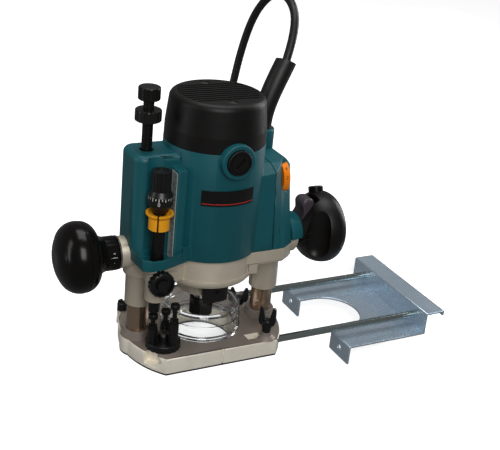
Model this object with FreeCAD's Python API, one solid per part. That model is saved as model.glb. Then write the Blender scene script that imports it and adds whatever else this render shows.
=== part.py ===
"""Two-post plunge router with a parallel side guide. Millimetres, +Z up, origin on the spindle axis at the sole.

+X runs along the two posts, the handles and the guide rods; -Y is the front, with the flat edge of the base.
"""
import FreeCAD
import Part
import math
import os
from FreeCAD import Vector as V

X, Y, Z = V(1, 0, 0), V(0, 1, 0), V(0, 0, 1)
GAP = 0.3           # between bodies that move past each other
SEAT = 0.05         # radial room where fixed pieces fit together

# base
SOLE_T = 1.5
BASE_TOP = 15.7
BASE_R = 72.0
FLAT_Y = -49.5
OPENING_R = 31.0
SOLE_OPENING_R = 28.0
EAR_R = 14.5
TABLE_HOLE_R = 2.1
TABLE_PCD = 100.0
TABLE_ANGLES = (90, 210, 330)
SOLE_SCREW_ORBIT = 58.0

# posts and plunge
POST_X = 60.0
POST_R = 9.5
POST_TOP = 104.0
BUSH_R = 10.6
LIMIT_R = 4.4
NUT_Z = 208.8
LIMIT_TOP = 237.0

# side guide
ROD_Y = 42.0
ROD_Z = 11.5
ROD_R = 3.25
ROD_INNER_X = -5.0
GUIDE_X = 121.6
WALL_X = 203.8
GUIDE_T = 2.0
GUIDE_HALF = 62.0
FLANGE_DROP = 16.5
CUTOUT_HALF = 30.0
CUTOUT_X = 167.0
FACING_HOLE_Y = 46.0
FACING_HOLE_Z = -7.0
FACING_HOLE_R = 2.3
# each wing bolt: place, top of its boss, size of its head
WINGS = {"front_right": (44.5, -ROD_Y, 21.5, "tall"), "back_right": (47.5, 18.0, 17.2, "leaf"),
         "back_left": (-57.5, ROD_Y, 16.0, "low")}

# depth stop
POLE = V(-58.4, -30, 0)
TURRET = V(-48.2, -30, 0)
TURRET_ORBIT = 10.2
HEAD_TOPS = ((180, 50.5), (60, 47.5), (300, 61.5))
COLUMN_TOPS = {180: 37.0, 60: 33.0, 300: 44.0}
POLE_FOOT = 53.5
POLE_R = 5.5
SETTING_Z = 84.0
SETTING_R = 10.8
KNOB_FOOT = 143.5

# motor
SEAM_Z = 95.0
MOTOR_R = 42.5
MOTOR_IN_R = 39.0
HOUSING_TOP = 190.0
CAP_TOP = 229.0
BRUSH_Z = 185.0
COLLET_R = 4.0
SPINDLE_FOOT = 30.0

# handles
HANDLE_Z = 96.0
COLLAR_X = -81.2
KNOB_X = -83.0       # inner end of the clamp knob
KNOB_R = 29.5
HANDLE_X = 86.8      # inner end of the right handle
HANDLE_SEAM = 115.8
HANDLE_R = 32.6
BUTTON_TILT = 20.0
BUTTON_DIR = V(0, math.sin(math.radians(BUTTON_TILT)), math.cos(math.radians(BUTTON_TILT)))
BUTTON_X = 112.0

# dial and cord
DIAL = V(65, 0.2, 150)
DIAL_R = 15.5
DIAL_HALF = 3.0
TOWER_X = -75.5
BRUSH_BOSS_R = 14.6
SPLIT_X = 47.6       # plane between the motor housing and its right cover
SPLIT_Y = 22.0
LOBE_TOP = 168.5
LOBE_FOOT = ((14, -31.5), (47.6, -31.5), (60.5, -30.8), (71.5, -23), (76, -12), (76, 20), (68, 27),
             (46, 34), (14, 38))
LOBE_HEAD = ((14, -28), (47.6, -24), (57, -15), (62, -6.5), (69, -4.5), (73.5, -1), (73.5, 18), (66, 25),
             (46, 33), (14, 38))
GUARD_FOOT = V(60, 30, 184)
CORD_R = 3.75
COIL = V(98, 198, 0)
COIL_MEAN_R = 40.0
COIL_HALF = 11.9
COIL_H = 30.2
CORD_ROUTE = [V(81, 36, 241), V(93, 44, 268), V(100, 70, 287), V(101, 104, 287), V(97, 130, 262), V(92, 142, 222),
              V(86, 144, 176), V(76, 151, 132), V(69, 151, 94), V(71, 152.5, 58), V(90, 154.6, 33)]
PLUG_AT = V(138.5, 231, 13.4)
PLUG_DIR = V(0.12, 0.99, 0).normalize()


# ---------------------------------------------------------------- helpers
def box(x0, x1, y0, y1, z0, z1):
    return Part.makeBox(x1 - x0, y1 - y0, z1 - z0, V(x0, y0, z0))


def rod(radius, start, direction, length):
    return Part.makeCylinder(radius, length, start, direction)


def ring(outer, inner, start, direction, length):
    return rod(outer, start, direction, length).cut(rod(inner, start, direction, length))


def prism(points, z0, z1):
    wire = Part.makePolygon([V(x, y, z0) for x, y in points + points[:1]])
    return Part.Face(wire).extrude(V(0, 0, z1 - z0))


def lathe(steps, start=V(0, 0, 0), direction=Z):
    """Turn an outline of (radius, height) steps; a step of two pairs is an arc through the first to the second."""
    edges = []
    here = steps[0]
    for step in steps[1:] + steps[:1]:
        if isinstance(step[0], tuple):
            middle, end = step
            edges.append(Part.Arc(*[V(r, 0, h) for r, h in (here, middle, end)]).toShape())
        else:
            end = step
            edges.append(Part.LineSegment(V(here[0], 0, here[1]), V(end[0], 0, end[1])).toShape())
        here = end
    solid = Part.Face(Part.Wire(edges)).revolve(V(0, 0, 0), Z, 360)
    return aimed(solid, start, direction)


def aimed(shape, start, direction):
    """Stand a shape that was made along +Z at start, pointing along direction."""
    placed = shape.copy()
    placed.Placement = FreeCAD.Placement(start, FreeCAD.Rotation(Z, direction)).multiply(placed.Placement)
    return placed


def polar(radius, degrees, z=0.0):
    turn = math.radians(degrees)
    return V(radius * math.cos(turn), radius * math.sin(turn), z)


def join(*shapes):
    return shapes[0].multiFuse(list(shapes[1:])).removeSplitter()


def less(shape, *tools):
    return shape.cut(Part.makeCompound(list(tools)) if len(tools) > 1 else tools[0])


def soften(shape, radius, chosen):
    """Fillet the edges that chosen(edge) accepts."""
    edges = [edge for edge in shape.Edges if chosen(edge)]
    return shape.makeFillet(radius, edges)


def upright(edge):
    a, b = edge.Vertexes[0].Point, edge.Vertexes[-1].Point
    return (a - b).Length > 1 and abs(abs((a - b).normalize().z) - 1) < 1e-6


def hexagon(across_flats, start, direction, length):
    corner = across_flats / math.sqrt(3)
    points = [(corner * math.cos(math.radians(60 * i)), corner * math.sin(math.radians(60 * i))) for i in range(6)]
    return aimed(prism(points, 0, length), start, direction)


def pan_screw(start, direction, shank_r, length, head_r, head_h):
    """A screw whose head sits on start and whose shank runs along direction."""
    head = rod(head_r, start - direction * head_h, direction, head_h)
    slot = aimed(box(-head_r, head_r, -0.5, 0.5, -1, head_h * 0.5), start - direction * head_h, direction)
    return join(head, rod(shank_r, start, direction, length)).cut(slot)


def fluted(radius, flutes, depth, start, direction, length):
    """A round grip with rounded flutes along its side."""
    grip = rod(radius, V(0, 0, 0), Z, length)
    cuts = [rod(depth, polar(radius + depth * 0.35, 360 * i / flutes), Z, length) for i in range(flutes)]
    return aimed(less(grip, *cuts), start, direction)


def coil_spring(radius, wire_r, start, height, turns):
    """A wire coil with its axis along +Z, both ends inside the stated height."""
    rise = height - 2 * wire_r
    helix = Part.makeHelix(rise / turns, rise, radius)
    section = Part.Wire(Part.Circle(V(radius, 0, 0), V(0, 1, 0), wire_r).toShape())
    spring = Part.Wire(helix.Edges).makePipeShell([section], True, True)
    spring.translate(start + V(0, 0, wire_r))
    return spring


def bent_tube(points, radius):
    """Straight runs joined by tangent arcs, each as large as its two runs allow."""
    edges, here = [], points[0]
    for before, corner, after in zip(points, points[1:], points[2:]):
        to_before, to_after = (before - corner).normalize(), (after - corner).normalize()
        reach = 0.45 * min((before - corner).Length, (after - corner).Length)
        turn = math.pi - to_before.getAngle(to_after)
        bend_r = reach / math.tan(turn / 2)
        first, last = corner + to_before * reach, corner + to_after * reach
        centre = corner + (to_before + to_after).normalize() * math.hypot(bend_r, reach)
        middle = centre + (corner - centre).normalize() * bend_r
        print(f"cord bend radius {bend_r:.0f} mm, turn {math.degrees(turn):.0f} degrees")
        edges += [Part.LineSegment(here, first).toShape(), Part.Arc(first, middle, last).toShape()]
        here = last
    edges.append(Part.LineSegment(here, points[-1]).toShape())
    path = Part.Wire(edges)
    section = Part.Wire(Part.Circle(points[0], points[1] - points[0], radius).toShape())
    tube = path.makePipeShell([section], True, False)
    print(f"cord run {path.Length:.1f} mm, volume ratio {tube.Volume / (math.pi * radius ** 2 * path.Length):.4f}")
    return tube


# ---------------------------------------------------------------- base
def base_outline(z0, z1, inset=0.0, edge_r=0.0):
    disc = rod(BASE_R - inset, V(0, 0, z0), Z, z1 - z0)
    disc = less(disc, box(-90, 90, -90, FLAT_Y + inset, z0 - 1, z1 + 1))
    ears = [rod(EAR_R - inset, V(side * POST_X, 0, z0), Z, z1 - z0) for side in (-1, 1)]
    if edge_r:
        disc, *ears = [soften(piece, edge_r, lambda e: e.BoundBox.ZMin > z1 - 1e-3) for piece in (disc, *ears)]
    return join(disc, *ears)


def table_holes(radius, depth):
    return [rod(radius, polar(TABLE_PCD / 2, a, -1), Z, depth + 1) for a in TABLE_ANGLES]


def sole_screw_spots():
    return [polar(SOLE_SCREW_ORBIT, a) for a in (45, 135, 225, 315)]


def base_casting():
    body = base_outline(SOLE_T, BASE_TOP, edge_r=1.2)
    for side in (-1, 1):
        post = V(side * POST_X, 0, SOLE_T)
        body = join(body, rod(EAR_R - 0.5, post, Z, 19 - SOLE_T), rod(12.5, post, Z, 22.5 - SOLE_T))
    seat = rod(16, TURRET + V(0, 0, 10), Z, 8).common(rod(BASE_R - 0.6, V(0, 0, 0), Z, 20))
    bosses = []
    for x, y, top, kind in WINGS.values():
        bosses.append(rod(4.8, V(x, y, 3), Z, top - 3))
        if kind == "tall":
            bosses.append(Part.makeCone(9.0, 5.2, 3.4, V(x, y, BASE_TOP - 0.2), Z))
    body = join(body, seat, *bosses)
    notch = box(65, 76, -6.3, 6.3, 5, 30)
    notch.rotate(V(0, 0, 0), Z, 210.8)
    cuts = [rod(OPENING_R, V(0, 0, 4), Z, 30), rod(SOLE_OPENING_R, V(0, 0, 0), Z, 30), notch,
            box(28, 41, -41, -33, 9, 30), rod(1.0, V(0, FLAT_Y, 0), Z, 30)]
    cuts += [rod(POST_R + SEAT, V(side * POST_X, 0, 3), Z, 30) for side in (-1, 1)]
    cuts += [rod(ROD_R + 0.08, V(-80, side * ROD_Y, ROD_Z), X, 160) for side in (-1, 1)]
    cuts += [rod(3.1, V(x, y, 5 if kind == "leaf" else ROD_Z), Z, 20) for x, y, top, kind in WINGS.values()]
    cuts += table_holes(TABLE_HOLE_R, 12)
    cuts += [rod(2.05, spot, Z, 7.5) for spot in sole_screw_spots()]
    cuts.append(rod(3.1, TURRET + V(0, 0, 6), Z, 20))
    return less(body, *cuts)


def base_sole():
    sole = base_outline(0, SOLE_T, 0.4)
    cuts = [rod(SOLE_OPENING_R, V(0, 0, -1), Z, 4)] + table_holes(TABLE_HOLE_R, 4)
    cuts += [Part.makeCone(4.2, 2.2, SOLE_T + 0.2, spot - Z * 0.1, Z) for spot in sole_screw_spots()]
    return less(sole, *cuts)


def sole_screws():
    screws = []
    for spot in sole_screw_spots():
        head = Part.makeCone(3.6, 2.0, 1.3, spot + Z * 0.2, Z)
        slot = box(spot.x - 3, spot.x + 3, spot.y - 0.4, spot.y + 0.4, 0, 0.7)
        screws.append(join(head, rod(2.0, spot + Z * 1.4, Z, 5.6)).cut(slot))
    return Part.makeCompound(screws)


def left_post():
    post = rod(POST_R, V(-POST_X, 0, 3), Z, POST_TOP - 3)
    post = soften(post, 0.8, lambda e: e.BoundBox.ZMin > POST_TOP - 0.1)
    return less(post, rod(LIMIT_R + SEAT, V(-POST_X, 0, 0), Z, 26), rod(6.0, V(-POST_X, 0, 26), Z, POST_TOP))


def right_post():
    post = rod(POST_R, V(POST_X, 0, 3), Z, POST_TOP - 3)
    return soften(post, 0.8, lambda e: e.BoundBox.ZMin > POST_TOP - 0.1)


def chip_guard():
    return lathe([(34, 15.8), (35.2, 15.8), (35.2, 19), (34, 20), (34, 28), (34.6, 28.4), (34.6, 29.6), (34, 30),
                  (34, 37), (33, 39), (29, 39), (29, 37), (31.8, 36), (31.8, 18), (29, 17.6), (29, 15.8)])


def limit_bolt():
    """Threaded rod with its knob moulded on the top end."""
    thread = rod(LIMIT_R, V(-POST_X, 0, 5), Z, LIMIT_TOP - 11)
    groove = [ring(6, LIMIT_R - 0.5, V(-POST_X, 0, 188 + 1.5 * i), Z, 0.6) for i in range(24)]
    start = V(-POST_X, 0, 226)
    knob = soften(rod(9, start, Z, 11), 1.6, lambda e: e.BoundBox.ZLength < 0.01)
    cuts = [rod(0.8, start + polar(9.3, 22.5 * i, -1), Z, 14) for i in range(16)]
    return join(less(thread, *groove), less(knob, *cuts))


def limit_nut():
    start = V(-POST_X, 0, NUT_Z)
    nut = soften(rod(10.8, start, Z, 9.6), 1.2, lambda e: e.BoundBox.ZLength < 0.01)
    cuts = [rod(1.2, start + polar(11.2, 20 * i, -1), Z, 12) for i in range(18)]
    return less(nut, rod(LIMIT_R + 0.09, start - Z, Z, 14), *cuts)


def wing_bolt(x, y, boss_top, kind):
    """Plastic head on a metal screw; two of them press on a guide rod, the third holds the extraction nozzle."""
    foot = 6.0 if kind == "leaf" else ROD_Z + ROD_R + GAP
    hub_z = {"tall": 26.5, "leaf": 18.0, "low": 16.6}[kind]
    stem = join(rod(3.0, V(x, y, foot), Z, hub_z + 4 - foot),
                rod(3.9, V(x, y, boss_top + GAP), Z, hub_z - boss_top))
    hub = soften(rod(4.6, V(x, y, hub_z), Z, 6.5), 1.0, lambda e: e.BoundBox.ZMin > hub_z + 6.4)
    reach, high, turn = {"tall": (7.6, 19.0, -40), "leaf": (8.6, 15.5, -25), "low": (5.0, 8.5, -75)}[kind]
    wings = []
    for side in (0, 180):
        outline = [(1.5, 0.4), (reach - 1.5, 2.0), (reach, 5.5), (reach - 0.4, high - 1.5), (reach - 2.0, high),
                   (reach - 3.6, high - 1.2), (1.5, 5.2)]
        plate = Part.Face(Part.makePolygon([V(r, -1.7, h) for r, h in outline + outline[:1]])).extrude(Y * 3.4)
        plate.rotate(V(0, 0, 0), Z, turn + side)
        wings.append(plate.translated(V(x, y, hub_z)))
    return join(stem, hub, *wings)


# ---------------------------------------------------------------- side guide
def guide_plate():
    shelf = box(GUIDE_X, WALL_X + GUIDE_T, -GUIDE_HALF, GUIDE_HALF, 0, GUIDE_T)
    wall = box(WALL_X, WALL_X + GUIDE_T, -GUIDE_HALF, GUIDE_HALF, 0, 22)
    rim = box(WALL_X, WALL_X + 20.8, -GUIDE_HALF, GUIDE_HALF, 22 - GUIDE_T, 22)
    lip = box(WALL_X + 18.8, WALL_X + 20.8, -GUIDE_HALF, GUIDE_HALF, 17, 22)
    flange = box(GUIDE_X, GUIDE_X + GUIDE_T, -GUIDE_HALF, GUIDE_HALF, -FLANGE_DROP, GUIDE_T)
    plate = join(shelf, wall, rim, lip, flange)
    plate = soften(plate, 1.6, lambda e: e.BoundBox.YLength > 100 and (
        (abs(e.CenterOfMass.x - GUIDE_X) < 0.1 and abs(e.CenterOfMass.z - GUIDE_T) < 0.1)
        or (abs(e.CenterOfMass.x - WALL_X) < 0.1 and abs(e.CenterOfMass.z - 22) < 0.1)))
    mouth = box(GUIDE_X - 5, CUTOUT_X - CUTOUT_HALF, -CUTOUT_HALF, CUTOUT_HALF, -30, 10)
    bowl = rod(CUTOUT_HALF, V(CUTOUT_X - CUTOUT_HALF, 0, -30), Z, 40)
    holes = [rod(FACING_HOLE_R, V(GUIDE_X - 5, s * FACING_HOLE_Y, FACING_HOLE_Z), X, 10) for s in (-1, 1)]
    screw_holes = [rod(2.1, V(WALL_X - 1, side * ROD_Y, ROD_Z), X, 6) for side in (-1, 1)]
    return less(plate, mouth, bowl, *holes, *screw_holes)


def guide_rods():
    rods = []
    for side in (-1, 1):
        bar = rod(ROD_R, V(ROD_INNER_X, side * ROD_Y, ROD_Z), X, WALL_X - ROD_INNER_X)
        bar = soften(bar, 0.6, lambda e: e.BoundBox.XMax < ROD_INNER_X + 0.1)
        rods.append(less(bar, rod(2.05, V(WALL_X - 12, side * ROD_Y, ROD_Z), X, 20)))
    return Part.makeCompound(rods)


def guide_screws():
    face = WALL_X + GUIDE_T
    return Part.makeCompound([pan_screw(V(face, s * ROD_Y, ROD_Z), -X, 2.0, 11, 3.8, 2.6) for s in (-1, 1)])


# ---------------------------------------------------------------- depth stop
def stopper_block():
    disc = soften(rod(15, TURRET + Z * 18.2, Z, 6), 1.0,
                  lambda e: e.BoundBox.ZLength < 0.01 and e.BoundBox.ZMin > 20)
    columns = [rod(4.1, TURRET + polar(TURRET_ORBIT, a, 20), Z, COLUMN_TOPS[a] - 20) for a in COLUMN_TOPS]
    hub = rod(5, TURRET + Z * 20, Z, 8)
    cuts = [rod(2.05, TURRET + polar(TURRET_ORBIT, a, 22), Z, 30) for a, _ in HEAD_TOPS]
    knurl = [rod(1.2, TURRET + polar(15.6, 20 * i, 18), Z, 3.4) for i in range(18)]
    return less(join(disc, hub, *columns), rod(3.1, TURRET, Z, 40), *cuts, *knurl)


def stopper_bolts():
    bolts = []
    for angle, top in HEAD_TOPS:
        at = TURRET + polar(TURRET_ORBIT, angle)
        head = soften(rod(4.1, at + Z * (top - 5.0), Z, 5.0), 1.4, lambda e: e.BoundBox.ZLength < 0.01)
        nut = hexagon(7, at + Z * (COLUMN_TOPS[angle] + 0.1), Z, 2.8)
        bolt = join(head, rod(2.0, at + Z * 24, Z, top - 26), nut)
        bolts.append(bolt.cut(box(at.x - 2.6, at.x + 2.6, at.y - 0.5, at.y + 0.5, top - 1.2, top + 1)))
    return Part.makeCompound(bolts)


def turret_screw():
    return pan_screw(TURRET + Z * 28.2, -Z, 3.0, 20, 4.4, 2.6)


def stopper_pole():
    """Stop bar: a thin foot, a scale sleeve and the neck that carries the turned knob."""
    foot = POLE + Z * POLE_FOOT
    bar = join(rod(4.8, foot, Z, 12), rod(POLE_R, foot + Z * 12, Z, KNOB_FOOT - 0.2 - POLE_FOOT - 12))
    rack = [box(POLE.x - 2, POLE.x + 2, POLE.y + 4.9, POLE.y + 6, z, z + 1) for z in range(72, 126, 2)]
    return less(join(bar, rod(3.0, POLE + Z * (KNOB_FOOT - 1), Z, 24)), *rack)


def depth_knob():
    sleeve = lathe([(3.1, KNOB_FOOT), (6.6, KNOB_FOOT), (9.7, 149.4), (10.1, 150.6), (10.1, 157.6), (8.0, 161.6),
                    (3.1, 161.6)], POLE)
    grip = fluted(8.0, 16, 0.9, POLE + Z * 161.6, Z, 16.2)
    grip = less(grip, rod(5.2, POLE + Z * 177.2, Z, 2))
    return join(sleeve, less(grip, rod(3.1, POLE + Z * 160, Z, 8)))


def depth_pointer():
    """Sliding collar with a thin brim and a sighting slit that faces the user."""
    collar = lathe([(5.58, 128.5), (8.6, 128.5), (8.6, 138.6), (11.2, 141.2), (11.2, 142.4),
                    (9.6, 142.4), (8.0, 141),
                    (5.58, 141)], POLE)
    slit = box(-0.7, 0.7, -14, -2, 127, 144)
    slit.rotate(V(0, 0, 0), Z, -29.4)
    return less(collar, slit.translated(POLE))


def setting_knob():
    """Scalloped thumb wheel on a stem that runs into the pole's boss."""
    face = V(POLE.x, -46, SETTING_Z)
    wheel = lathe([(0, 0.2), (4.6, 0.2), (5.4, 2.4), (8.3, 2.4), (8.6, 0), (9.8, 0),
                   (SETTING_R, 1.0), (SETTING_R, 6.6),
                   (0, 6.6)], face, Y)
    orbit = SETTING_R + 0.5
    scallops = [rod(1.3, face + V(orbit * math.cos(a), -1, orbit * math.sin(a)), Y, 9)
                for a in (math.radians(22.5 * i) for i in range(16))]
    stem_foot = V(POLE.x, -40, SETTING_Z)
    return join(less(wheel, *scallops), rod(2.9, stem_foot, Y, POLE.y - POLE_R - GAP - stem_foot.y))


def depth_scale():
    return box(-45.85, -45.25, -31.2, -21, 98.7, 174)


# ---------------------------------------------------------------- gear housing
def gear_housing():
    shell = join(rod(39.5, V(0, 0, 70), Z, SEAM_Z - 70), rod(41, V(0, 0, 72), Z, 4),
                 rod(23, V(0, 0, 54), Z, 18),
                 box(-POST_X, POST_X, -13, 13, 76, SEAM_Z),
                 rod(12, V(-POST_X, 0, 47), Z, SEAM_Z - 47), rod(12.5, V(POST_X, 0, 45), Z, SEAM_Z - 45),
                 rod(14.5, V(-POST_X, 0, 76), Z, SEAM_Z - 76), right_lug(),
                 rod(13.5, V(COLLAR_X, 0, HANDLE_Z), X, -POST_X - COLLAR_X))
    pole_boss = join(rod(8.6, POLE + Z * 64.5, Z, SEAM_Z - 64.5),
                     rod(8.2, V(POLE.x, -38.6, SETTING_Z), Y, 12),
                     prism([(-64, -26), (-52, -36), (-30, -24), (-44, -4), (-64, -6)], 76, SEAM_Z))
    shell = join(shell, pole_boss)
    cuts = [rod(36.8, V(0, 0, 74), Z, 60), rod(17.5 + SEAT, V(0, 0, 57), Z, 20), rod(13, V(0, 0, 50), Z, 20),
            box(-11.9, 11.9, -30, -19.2, 49, 69.4), box(-3.3, 3.3, -24, 0, 54.5, 56.9)]
    for side in (-1, 1):
        at = V(side * POST_X, 0, 40)
        cuts += [rod(BUSH_R + SEAT, at, Z, 30), rod(POST_R + 0.5, at, Z, 90)]
    cuts += [rod(POLE_R + 0.06, POLE + Z * 60, Z, 50), rod(3.0, V(POLE.x, -45, SETTING_Z), Y, 15),
             rod(4.2, V(-90, 0, HANDLE_Z), X, 25)]
    cuts += [rod(2.0, V(x, y, 80), Z, 30) for x, y in housing_screw_spots()]
    return less(shell, *cuts)


def right_lug():
    """Block under the right cover: a flat arm, a leg with a screw hole and half of the flange under the handle."""
    arm = prism(list(LOBE_FOOT), 84, SEAM_Z)
    arm = less(arm, prism([(38, -29.5), (60, -29), (69, -22), (73, -13), (73, 19), (66, 24), (38, 30)], 80, 90))
    leg = box(27.5, 35.5, -31.0, -20, 74.5, 86)
    ledge = prism([(36, -30.2), (60, -29.6), (70.5, -22.5), (74.6, -12), (74.6, -8), (60, -8), (36, -24)], 82, 85)
    flange = less(rod(17.8, V(62, 0, HANDLE_Z - 1), X, 20), box(50, 90, -30, 30, SEAM_Z, 130))
    return less(join(arm, leg, ledge, flange, rod(14, V(POST_X, 0, 80), Z, 8)),
                rod(1.8, V(31.5, -27.5, 70), Z, 10))


def housing_screw_spots():
    return [(side * 39.5, front * 10.0) for side in (-1, 1) for front in (-1, 1)]


def sleeve_bushes():
    return Part.makeCompound([ring(BUSH_R, POST_R + 0.06, V(s * POST_X, 0, 47.5), Z, 22) for s in (-1, 1)])


def shaft_lock():
    pad = box(-11.5, 11.5, -28, -22.5, 50, 68.8)
    pad = pad.common(rod(28, V(0, 0, 49), Z, 22))
    tongue = box(-3, 3, -23, -12, 54.8, 56.6)
    return less(join(pad, tongue), rod(1.6, V(0, -40, 60), Y, 14))


def plunge_springs():
    springs = [(-POST_X, 178.3, 9), (POST_X, 130.8, 5)]
    return Part.makeCompound([coil_spring(8.2, 0.9, V(x, 0, POST_TOP), top - POST_TOP, turns)
                              for x, top, turns in springs])


# ---------------------------------------------------------------- drive
def spindle():
    shaft = join(rod(8.5, V(0, 0, SPINDLE_FOOT), Z, 26), rod(7.5, V(0, 0, 56), Z, 14),
                 rod(6, V(0, 0, 70), Z, 126), rod(4, V(0, 0, 196), Z, 8))
    return less(shaft, rod(6.95, V(0, 0, SPINDLE_FOOT - 1), Z, 18), rod(2.2, V(0, -12, 53.4), Y, 24))


def collet():
    cone = ring(6.9, COLLET_R, V(0, 0, 28.4), Z, 17)
    slits = []
    for i in range(3):
        slit = box(5.2, 8, -0.4, 0.4, 27, 40)
        slit.rotate(V(0, 0, 0), Z, 120 * i)
        slits.append(slit)
    return less(cone, *slits)


def collet_nut():
    nut = join(hexagon(20, V(0, 0, 27), Z, 11), rod(10.6, V(0, 0, 37), Z, 6))
    nut = nut.common(lathe([(0, 27), (10, 27), (11.6, 29), (11.6, 43), (0, 43)]))
    return less(nut, rod(8.55, V(0, 0, 28.3), Z, 20), rod(5.5, V(0, 0, 20), Z, 20))


def bearing(outer, inner, z, height):
    """Shielded deep-groove bearing as one lump: two races joined by their shields."""
    land = (outer - inner) / 3.6
    return lathe([(inner, 0), (inner + land, 0), (inner + land, 0.6), (outer - land, 0.6),
                  (outer - land, 0), (outer, 0),
                  (outer, height), (outer - land, height), (outer - land, height - 0.6),
                  (inner + land, height - 0.6),
                  (inner + land, height), (inner, height)], V(0, 0, z))


def lower_bearing():
    return bearing(17.5, 7.5 + SEAT, 57.5, 11)


def upper_bearing():
    return bearing(11, 4 + SEAT, 197, 7)


def armature_core():
    core = ring(22, 6 + SEAT, V(0, 0, 108), Z, 40)
    slots = [box(18, 23, -1.2, 1.2, 107, 149) for _ in range(12)]
    for i, slot in enumerate(slots):
        slot.rotate(V(0, 0, 0), Z, 30 * i)
    return less(core, *slots)


def armature_windings():
    ends = [lathe([(7, z0), (19, z0), (20, z0 + 2), (20, z1 - 2), (17, z1), (7, z1)])
            for z0, z1 in ((97.5, 107.8), (148.2, 160))]
    return Part.makeCompound(ends)


def commutator():
    drum = ring(12, 6 + SEAT, V(0, 0, 164), Z, 30)
    slots = [box(10.6, 13, -0.25, 0.25, 174, 196) for _ in range(12)]
    for i, slot in enumerate(slots):
        slot.rotate(V(0, 0, 0), Z, 30 * i)
    return less(drum, *slots)


def fan():
    disc = ring(34, 6 + SEAT, V(0, 0, 77), Z, 2)
    hub = ring(10, 6 + SEAT, V(0, 0, 77), Z, 14)
    blades = []
    for i in range(16):
        blade = box(16, 33.5, -0.8, 0.8, 78.5, 90)
        blade.rotate(V(16, 0, 78), Z, 28)
        blade.rotate(V(0, 0, 0), Z, 22.5 * i)
        blades.append(blade)
    return join(disc, hub, *blades)


def stator_core():
    return less(ring(38.4, 22.8, V(0, 0, 108), Z, 40), box(-27, 27, -11, 11, 100, 150))


def field_coils():
    coils = []
    for side in (-1, 1):
        loop = ring(33, 25, V(0, 0, 100), Z, 7.6).common(
            box(-40, 40, min(0, side * 40), max(0, side * 40), 99, 160))
        top = ring(33, 25, V(0, 0, 148.4), Z, 8).common(
            box(-40, 40, min(0, side * 40), max(0, side * 40), 99, 160))
        trimmed = [piece.common(box(-26, 26, -40, 40, 90, 170)) for piece in (loop, top)]
        coils += trimmed
    return Part.makeCompound(coils)


def carbon_brushes():
    return Part.makeCompound([box(-4, 4, *sorted((s * 12.3, s * 29)), BRUSH_Z - 3, BRUSH_Z + 3) for s in (-1, 1)])


def brush_holders():
    holders = []
    for side in (-1, 1):
        outer = box(-6, 6, *sorted((side * 16, side * 43)), BRUSH_Z - 5, BRUSH_Z + 5)
        holders.append(less(outer, box(-4.1, 4.1, *sorted((side * 10, side * 50)), BRUSH_Z - 3.1, BRUSH_Z + 3.1)))
    return Part.makeCompound(holders)


def brush_caps():
    caps = []
    for side in (-1, 1):
        cap = rod(10.6, V(0, side * 43.3, BRUSH_Z), Y * side, 5.6)
        cap = soften(cap, 1.0, lambda e: abs(abs(e.CenterOfMass.y) - 48.9) < 0.1)
        slot = box(-5, 5, *sorted((side * 47.4, side * 50)), BRUSH_Z - 1.2, BRUSH_Z + 1.2)
        slot.rotate(V(0, 0, BRUSH_Z), Y, -45)
        caps.append(less(cap, slot, ring(8.6, 7.6, V(0, side * 48.2, BRUSH_Z), Y * side, 2)))
    return Part.makeCompound(caps)


# ---------------------------------------------------------------- motor housing
def drafted(foot, head, z0, z1):
    """Block whose outline changes evenly from foot to head."""
    wires = [Part.makePolygon([V(x, y, z) for x, y in outline + outline[:1]])
             for outline, z in ((foot, z0), (head, z1))]
    return Part.makeLoft(wires, True, True)


def lobe(inset=0.0, z0=SEAM_Z + 0.2, z1=LOBE_TOP):
    """Box at the right of the drum that holds the post's end and the speed control, with sloped shoulders."""
    outlines = [LOBE_FOOT[:2] + ((55.0, -31.1),) + LOBE_FOOT[2:], LOBE_HEAD]
    for i, outline in enumerate(outlines):
        if inset:
            face = Part.Face(Part.makePolygon([V(x, y, 0) for x, y in outline + outline[:1]]))
            corners = [v.Point for v in face.makeOffset2D(-inset, join=2).OuterWire.OrderedVertexes]
            outlines[i] = tuple((corner.x, corner.y) for corner in corners)
    side = [V(66.5, -60, LOBE_TOP), V(80, -60, LOBE_TOP - 13.5), V(90, -60, LOBE_TOP + 9),
            V(66.5, -60, LOBE_TOP + 9)]
    front = [V(0, -12.5, LOBE_TOP), V(0, -26.5, LOBE_TOP - 6.3), V(0, -60, LOBE_TOP - 6.3), V(0, -60, 190),
             V(0, -12.5, 190)]
    shoulders = [Part.Face(Part.makePolygon(side + side[:1])).extrude(Y * 120),
                 Part.Face(Part.makePolygon(front + front[:1])).extrude(X * 90)]
    shoulders[0].translate(V(-0.71, 0, -0.71) * inset)
    shoulders[1].translate(V(0, 0.41, -0.91) * inset)
    return less(drafted(*outlines, z0, z1), *shoulders)


def right_of_split():
    return box(SPLIT_X, 110, -60, SPLIT_Y, 60, 240)


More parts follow.
